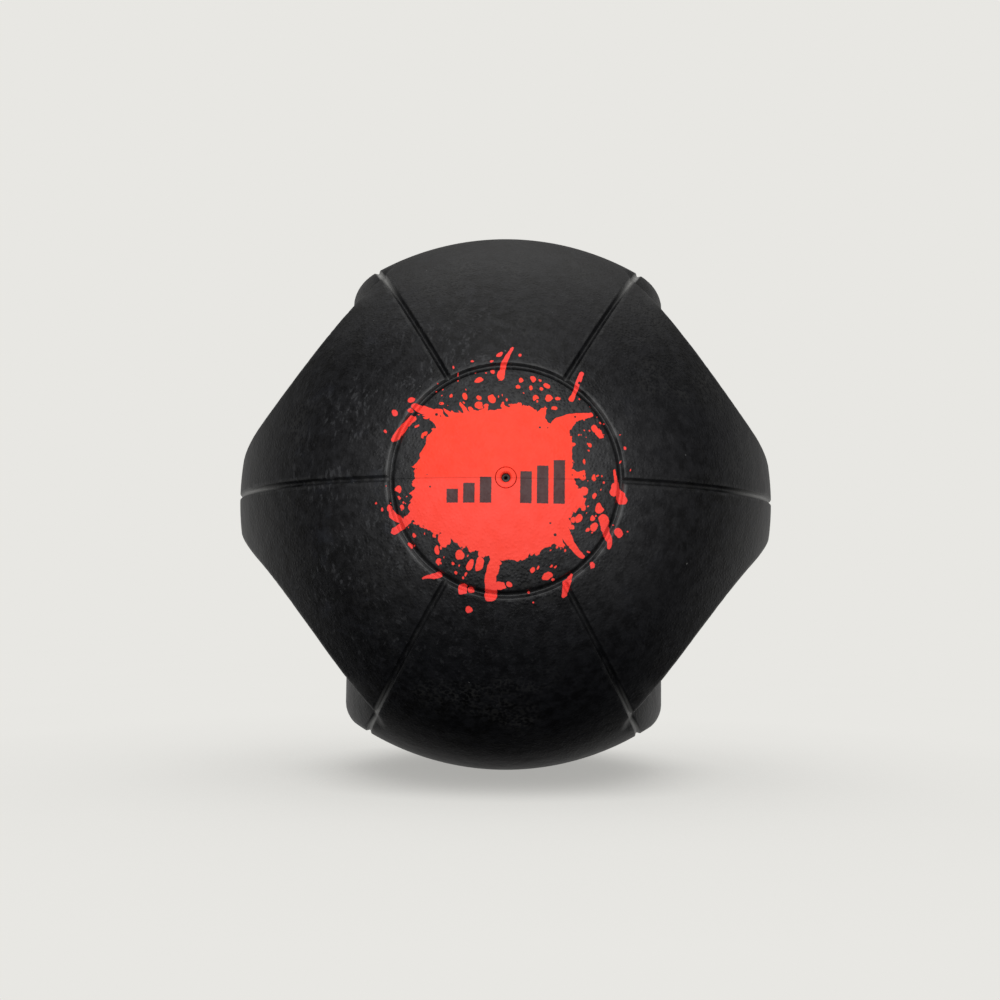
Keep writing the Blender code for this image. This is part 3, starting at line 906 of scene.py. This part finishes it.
def open_bars(mat, flat, x, z):
    """The bars, each taller than the one to its left."""
    rough_edge = (mat.noise(at=flat, size=1.1, seed=6.6) - 0.5) * 0.5
    across = abs(x) - BAR_FROM
    place = mat.math("FLOOR", mat.math("DIVIDE", across, BAR_PITCH))
    inside_x = BAR_W / 2 - abs(mat.math("MODULO", across, BAR_PITCH) - BAR_W / 2)
    rank = (place + 0.5).scaled(mat.math("SIGN", x), plus=2.5)
    top = rank.scaled(BAR_STEP, plus=BAR_FOOT + BAR_LOW)
    inside_z = (top - z).least(z - BAR_FOOT)
    three = (across > -0.3) * (across < 3 * BAR_PITCH - 0.3)
    return (inside_x.least(inside_z) + rough_edge).step(over=CORE_EDGE) * three


def print_mask(mat, x, y, z):
    """1 where there is ink on the front of the ball, 0 elsewhere."""
    flat = mat.joined(x, z)
    bent = flat
    for reach, size, detail, seed in INK_BENDS:
        wander = mat.noise(at=flat, size=size, detail=detail, seed=seed, colour=True)
        wander = mat.vector("SUBTRACT", wander, (0.5, 0.5, 0.5))
        bent = mat.vector("MULTIPLY_ADD", wander, (reach, reach, 0.0), bent)
    ink = ink_core(mat, bent)
    for drops in INK_DROPS:
        ink = ink.most(ink_drops(mat, bent, *drops))
    for stroke in strokes(seed=11):
        ink = ink.most(ink_stroke(mat, bent, *stroke))
    ink = ink * (1.0 - pinholes(mat, flat))
    ink = ink * (1.0 - open_bars(mat, flat, x, z) * 0.96)
    return ink * (y < -40.0)


# --- Materials ---


def groove_distance(mat, z, off_axis):
    """How far it is to the nearest groove."""
    ring = abs(off_axis() - DISC_R)
    nearest = abs(z)
    for i in (1, 2):
        angle = math.radians(60 * i)
        across = (-math.sin(angle), 0.0, math.cos(angle))
        nearest = nearest.least(abs(mat.vector("DOT_PRODUCT", mat.point, across)))
    outside = off_axis() > DISC_R
    return ring.least(nearest + (1.0 - outside) * 100.0)


def rubber(name, printed, dark=1.0, pebble_height=0.075):
    """Black moulded rubber with fine pebbling, mottling, dust, scuffs and worn edges, with painted
    highlights round the disc, on the ring's lip and on the core's corners, and a painted reflection
    in the grooves near the outline.
    """
    mat = Shading(name)
    noise, mix = mat.noise, mat.mix
    x, y, z = mat.parts(mat.point)

    def off_axis():
        return mat.vector("LENGTH", mat.joined(x, z))

    # surface relief, in millimetres
    pebble = mat.cells(size=1.55)["Distance"]
    dome = pebble.step(over=(0.62, 0.1))
    grain = noise(size=0.55, rough=0.6)
    swell = noise(size=13.0, detail=3.0, rough=0.55, seed=4.0)
    patch = noise(size=34.0, detail=3.0, rough=0.6, seed=9.0)
    height = dome * (patch.scaled(0.9, plus=0.45) * pebble_height)
    height = height + grain * 0.03 + swell * 0.55
    nearest = groove_distance(mat, z, off_axis)

    # mottled black, with dusty pores between the pebbles
    mottle = noise(size=4.2, detail=4.0, rough=0.62, seed=2.0)
    wide = noise(size=46.0, seed=7.0)
    deep = (0.0012 * dark, 0.0012 * dark, 0.0015 * dark)
    light = (0.0056 * dark, 0.0058 * dark, 0.0070 * dark)
    colour = mix(deep, light, share=mottle.step(over=(0.38, 0.64)))
    colour = mix(colour, light, share=wide.step(over=(0.35, 0.75), to=(0.0, 0.5)))
    pores = pebble.step(over=(0.45, 0.75)) * patch.step(over=(0.45, 0.7))
    colour = mix(colour, (0.040, 0.040, 0.038), share=pores * 0.35)

    # scuffs lie in patches, thickest beside the print where the ball is laid down and rolled
    from_print = mat.vector("LENGTH", mat.joined(x + 16.0, z + 12.0))
    toward = mat.parts(mat.vector("NORMALIZE", mat.joined(x, z)))
    near_print = from_print.step(over=(58.0, 112.0), to=(1.0, 0.3))
    near_print = near_print * toward[0].step(over=(0.6, -0.5), to=(0.4, 1.0))
    near_print = near_print * toward[1].step(over=(-0.95, -0.6), to=(0.35, 1.0))
    wander = noise(size=22.0, detail=1.0, seed=12.0, colour=True)
    bent = mat.vector("MULTIPLY_ADD", wander, (16.0, 16.0, 16.0), mat.point)
    long = mat.vector("MULTIPLY", bent, (1.0, 1.0, 0.42))
    rub = noise(at=long, size=1.9, detail=3.0, rough=0.68, seed=5.0)
    where = noise(size=26.0, rough=0.55, seed=15.0).step(over=(0.34, 0.54))
    # a painted broad highlight round the disc: a faint grey, left off at the top, weaker at the
    # bottom and patchy with the mottle
    painted_disc_highlight = off_axis().step(over=(98.0, 54.0)) * toward[1].step(over=(0.85, 0.3))
    painted_disc_highlight = painted_disc_highlight * toward[1].step(over=(-1.0, -0.65), to=(0.15, 1.0))
    painted_disc_highlight = painted_disc_highlight * mottle.step(over=(0.34, 0.66), to=(0.55, 1.0))
    colour = mix(colour, (0.021, 0.021, 0.022), share=painted_disc_highlight * 0.8)
    scuff = rub.step(over=(0.54, 0.66)) * where * near_print
    colour = mix(colour, (0.041, 0.042, 0.045), share=scuff * 0.64)
    smear = noise(size=11.0, detail=3.0, rough=0.6, seed=17.0).step(over=(0.56, 0.72))
    colour = mix(colour, (0.022, 0.024, 0.031), share=smear * near_print * 0.35)
    pit = rub.step(over=(0.46, 0.36)) * where * near_print
    colour = mix(colour, (0.0015, 0.0015, 0.0018), share=pit * 0.6)

    # dust specks
    dust = mat.cells(size=7.5)
    red, green, _ = mat.parts(dust["Color"])
    speck = (dust["Distance"] < red * 0.055) * (green > 0.6)
    colour = mix(colour, (0.16, 0.16, 0.155), share=speck * 0.5)

    # worn shoulders of the grooves and of the openings
    worn = noise(size=6.0, detail=3.0, rough=0.65, seed=21.0).step(over=(0.38, 0.7))
    shoulder = nearest.step(over=(1.5, 2.1)) * nearest.step(over=(3.3, 2.4))
    shoulder = shoulder * toward[1].step(over=(-0.9, -0.3), to=(0.4, 1.0))
    edge = mat.output("Attribute", output="Fac", attribute_name="edge_wear")
    wear = (shoulder * 0.45).most(edge * 0.55) * worn
    colour = mix(colour, (0.050, 0.050, 0.050), share=wear * 0.6)
    # a painted highlight on the lip just outside the disc's ring, palest at the left and right
    sideways = abs(toward[0])
    painted_lip_highlight = off_axis() - DISC_R
    painted_lip_highlight = painted_lip_highlight.step(over=(0.4, 1.3)) * painted_lip_highlight.step(over=(3.2, 1.4))
    painted_lip_highlight = painted_lip_highlight * sideways.step(over=(0.35, 0.8), to=(0.25, 1.0))
    painted_lip_highlight = painted_lip_highlight * noise(size=13.0, rough=0.6, seed=23.0).step(over=(0.40, 0.58))
    colour = mix(colour, (0.080, 0.080, 0.080), share=painted_lip_highlight * 0.8)
    # painted light on the four corners of the core beside the openings, in patches
    corner = abs(x).step(over=(62.0, 74.0)) * abs(z).step(over=(86.0, 97.0))
    blotch = noise(size=10.0, detail=3.0, rough=0.6, seed=25.0)
    corner = corner * blotch.step(over=(0.30, 0.62), to=(0.35, 1.0))
    colour = mix(colour, (0.052, 0.052, 0.052), share=corner * 0.75)

    # dust in the grooves, and a painted reflection in them, seen at a low angle near the outline
    dusty = noise(size=9.0, detail=3.0, rough=0.6, seed=31.0).step(over=(0.35, 0.65))
    bottom = nearest.step(over=(1.2, 0.2)) * dusty
    colour = mix(colour, (0.030, 0.030, 0.029), share=bottom * 0.30)
    facing = mat.output("LayerWeight", {"Blend": 0.5}, "Facing")
    painted_groove_glint = facing.step(over=(0.40, 0.80)) * nearest.step(over=(2.0, 0.5))
    painted_groove_glint = painted_groove_glint * off_axis().step(over=(100.0, 130.0))
    colour = mix(colour, (0.33, 0.33, 0.32), share=painted_groove_glint * 0.9)

    # the mould's parting line, level with the middle of the grips
    faint = noise(size=8.0, seed=41.0).step(over=(0.25, 0.5), to=(0.45, 1.0))
    line = abs(z).step(over=(0.42, 0.12)) * faint
    height = height + line * 0.10
    roughness = mottle.scaled(0.14, plus=0.36)
    roughness = scuff.scaled(0.12, plus=roughness)
    roughness = wear.scaled(-0.08, plus=roughness)
    specular = mottle.step(over=(0.35, 0.65), to=(0.25, 0.31))
    if printed:
        ink = print_mask(mat, x, y, z)
        upper = z.step(over=(-1.5, 1.5))
        paint = mix((0.95, 0.068, 0.046), (0.95, 0.056, 0.028), share=upper)
        outward = off_axis().step(over=(38.0, 56.0), to=(0.0, 0.7))
        paint = mix(paint, (0.86, 0.062, 0.066), share=outward)
        cloud = noise(size=7.0, detail=3.0, rough=0.6, seed=51.0)
        cloud = cloud.step(over=(0.35, 0.75), to=(0.0, 0.6))
        paint = mix(paint, (0.88, 0.048, 0.026), share=cloud)
        # the ink is thinner in worn places and along the parting line
        thin = noise(size=0.8, rough=0.6, seed=52.0).step(over=(0.60, 0.74)) * 0.35
        rubbed = noise(size=12.0, detail=4.0, rough=0.7, seed=53.0)
        rubbed = rubbed.step(over=(0.58, 0.75)) * 0.5
        cover = ink * (1.0 - thin * rubbed) * (1.0 - line * 0.16)
        colour = mix(colour, paint, share=cover)
        roughness = ink.scaled(0.05, plus=roughness)
        specular = ink.scaled(-0.14, plus=specular)
    return mat.finish(colour, roughness, height, specular)


def body_rubber():
    mat = Shading("dense_body_rubber")
    crumb = mat.cells(size=2.4)
    grain = mat.noise(size=0.8, detail=3.0, rough=0.6)
    cloud = mat.noise(size=6.0, detail=4.0, rough=0.6).step(over=(0.35, 0.7))
    colour = mat.mix((0.016, 0.016, 0.016), (0.042, 0.041, 0.040), share=cloud)
    chip = mat.parts(crumb["Color"])[0] > 0.86
    colour = mat.mix(colour, (0.09, 0.088, 0.085), share=chip * 0.5)
    height = crumb["Distance"] * -0.25 + grain * 0.08
    return mat.finish(colour, grain.scaled(0.15, plus=0.68), height)


def cord_rubber():
    mat = Shading("cord_rubber")
    squeezed = mat.vector("MULTIPLY", mat.point, (1.0, 1.0, 3.0))
    weave = mat.noise(at=squeezed, size=1.4, detail=3.0, rough=0.6)
    share = weave.step(over=(0.3, 0.7))
    colour = mat.mix((0.075, 0.068, 0.060), (0.165, 0.150, 0.135), share=share)
    return mat.finish(colour, weave.scaled(0.2, plus=0.55), weave * 0.12)


def butyl():
    mat = Shading("butyl_rubber")
    cloud = mat.noise(size=9.0, detail=4.0, rough=0.6)
    talc = mat.noise(size=22.0, detail=4.0, rough=0.65, seed=3.0).step(over=(0.5, 0.75))
    share = cloud.step(over=(0.3, 0.7))
    colour = mat.mix((0.030, 0.027, 0.028), (0.060, 0.054, 0.054), share=share)
    colour = mat.mix(colour, (0.32, 0.31, 0.30), share=talc * 0.25)
    height = mat.noise(size=0.9) * 0.05 + cloud * 0.2
    return mat.finish(colour, talc.scaled(0.3, plus=0.38), height, specular=0.45)


def thread():
    mat = Shading("nylon_thread")
    squeezed = mat.vector("MULTIPLY", mat.point, (1.0, 1.6, 1.0))
    strand = mat.noise(at=squeezed, size=0.5, rough=0.6)
    tone = mat.noise(size=7.0, detail=3.0, rough=0.6, seed=2.0).step(over=(0.3, 0.7))
    colour = mat.mix((0.50, 0.45, 0.34), (0.70, 0.66, 0.55), share=tone)
    colour = mat.mix(colour, (0.36, 0.31, 0.22), share=strand.step(over=(0.5, 0.7)) * 0.4)
    roughness = strand.scaled(0.2, plus=0.6)
    return mat.finish(colour, roughness, strand * 0.15, specular=0.4, sheen=0.2)


def plug_rubber():
    mat = Shading("soft_plug_rubber")
    cloud = mat.noise(size=1.2, detail=3.0, rough=0.6)
    share = cloud.step(over=(0.3, 0.7))
    colour = mat.mix((0.028, 0.027, 0.025), (0.060, 0.058, 0.054), share=share)
    return mat.finish(colour, cloud.scaled(0.2, plus=0.5), cloud * 0.06)


cover = rubber("cover_rubber_printed", printed=True)
lining = rubber("lining_rubber", printed=False)
for name, piece in pieces.items():
    plain = name == "rear_disc" or name.endswith("liner")
    piece.data.materials.append(lining if plain else cover)
inside_materials = [
    rubber("valve_rubber_printed", printed=True, dark=1.6, pebble_height=0.03),
    plug_rubber(),
    butyl(),
    thread(),
]
cord = cord_rubber()
for (obj, _), material in zip(inside_pieces.values(), inside_materials + [cord, cord]):
    obj.data.materials.append(material)
dense = body_rubber()
for node in ("upper_body", "lower_body"):
    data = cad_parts[node].data
    data.materials.clear()
    data.materials.append(dense)

# --- Stage, light and camera, with distances in metres ---

PALE = (0.807, 0.799, 0.768)
FLOOR_HALF = 8.0
# The surroundings' strength: (place from straight down at 0 to straight up at 1, strength)
GLOW = (
    (0.0, 0.0), (0.15, 0.01), (0.24, 0.24), (0.3, 0.40), (0.45, 0.58),
    (0.62, 0.36), (0.7, 0.26), (0.8, 0.12), (1.0, 0.06),
)
FRONT_SHARE = 0.10  # how much of that strength is left in front of the ball, except overhead


def stage_floor():
    """A wide pale floor, glowing evenly, with a painted soft shadow under the ball worked out from
    occlusion. It is drawn for the camera alone, so it throws no light back up at the ball, and from
    below it can be seen through."""
    low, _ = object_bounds()
    half = FLOOR_HALF
    corners = [(x, y, low.z) for x, y in ((-half, -half), (half, -half), (half, half), (-half, half))]
    floor = new_object("floor", np.array(corners) * 1000.0, np.array([[0, 1, 2], [0, 2, 3]]), False)
    mat = Shading("pale_floor")
    # painted shadow: the floor's glow is darkened near the ball by a wide and a close occlusion
    wide, close = (
        mat.output("AmbientOcclusion", {"Distance": distance}, "AO", samples=6)
        for distance in (0.26, 0.05)
    )
    painted_shadow = wide.step(over=(0.35, 1.0), to=(0.80, 1.0)) * close.step(over=(0.1, 1.0), to=(0.62, 1.0))
    tone = painted_shadow * mat.noise(size=90.0, detail=3.0, rough=0.6).scaled(0.012, plus=0.994)
    glow = mat.output("Emission", {"Color": (*PALE, 1.0), "Strength": tone})
    from_below = mat.output("NewGeometry", output="Backfacing")
    shown = mat.output("MixShader", (from_below, glow, mat.output("BsdfTransparent")))
    mat.node("OutputMaterial", [shown])
    floor.data.materials.append(mat.owner)
    for ray in ("diffuse", "glossy", "transmission", "shadow", "volume_scatter"):
        setattr(floor, "visible_" + ray, False)


def surroundings():
    """Pale behind and above the ball, dim in front and below; plain pale for the camera."""
    world = bpy.data.worlds.new("studio")
    bpy.context.scene.world = world
    tree = Tree(world)
    _, rearward, upward = tree.parts(tree.output("TexCoord", output="Generated"))
    ramp = tree.node("ValToRGB", [upward.scaled(0.5, plus=0.5)])
    stops = ramp.color_ramp.elements
    for place, strength in GLOW:
        stop = stops[0] if place == 0.0 else stops.new(place)
        stop.position, stop.color = place, (strength, strength, strength, 1.0)
    # a new ramp already has a stop at 1, so there is one too many
    stops.remove(stops[-1])
    behind = rearward.step(over=(-0.18, 0.58), to=(FRONT_SHARE, 1.0))
    overhead = upward.step(over=(0.5, 0.95))
    strength = Value(tree, ramp.outputs[0]) * behind.most(overhead)
    lit = tree.output("Background", [(1.0, 0.99, 0.97, 1.0), strength])
    seen = tree.output("Background", [(*PALE, 1.0), 1.0])
    for_camera = tree.output("LightPath", output="Is Camera Ray")
    tree.node("OutputWorld", [tree.output("MixShader", (for_camera, lit, seen))])


def soft_light(name, azimuth, elevation, distance, size, power):
    """A round lamp aimed at the ball. Azimuth 0 is in front of it, and 90 to its right."""
    turn, rise = math.radians(azimuth), math.radians(elevation)
    level = math.cos(rise)
    place = Vector((math.sin(turn) * level, -math.cos(turn) * level, math.sin(rise))) * distance
    data = bpy.data.lights.new(name, "AREA")
    data.shape, data.size, data.energy = "DISK", size, power
    lamp = bpy.data.objects.new(name, data)
    bpy.context.scene.collection.objects.link(lamp)
    lamp.location = place
    lamp.visible_camera = False
    lamp.rotation_mode = "QUATERNION"
    lamp.rotation_quaternion = (-place).to_track_quat("-Z", "Y")


def aim_camera(distance, elevation, roll):
    """A camera in front of the ball, aimed at its centre."""
    data = bpy.data.cameras.new("camera")
    camera = bpy.data.objects.new("camera", data)
    bpy.context.scene.collection.objects.link(camera)
    bpy.context.scene.camera = camera
    data.sensor_width = 36.0
    data.lens = 46.8
    data.shift_x, data.shift_y = -0.0056, 0.0045
    rise = math.radians(elevation)
    back = Vector((0, -math.cos(rise), math.sin(rise)))
    tilt = Matrix.Rotation(math.radians(roll), 4, "Z").to_quaternion()
    camera.location = back * distance
    camera.rotation_mode = "QUATERNION"
    camera.rotation_quaternion = (-back).to_track_quat("-Z", "Y") @ tilt


stage_floor()
surroundings()
soft_light("key_light", azimuth=-1.0, elevation=11.0, distance=1.25, size=1.85, power=22.8)
bpy.context.scene.view_settings.view_transform = "Standard"
aim_camera(distance=0.70, elevation=-4.8, roll=0.6)
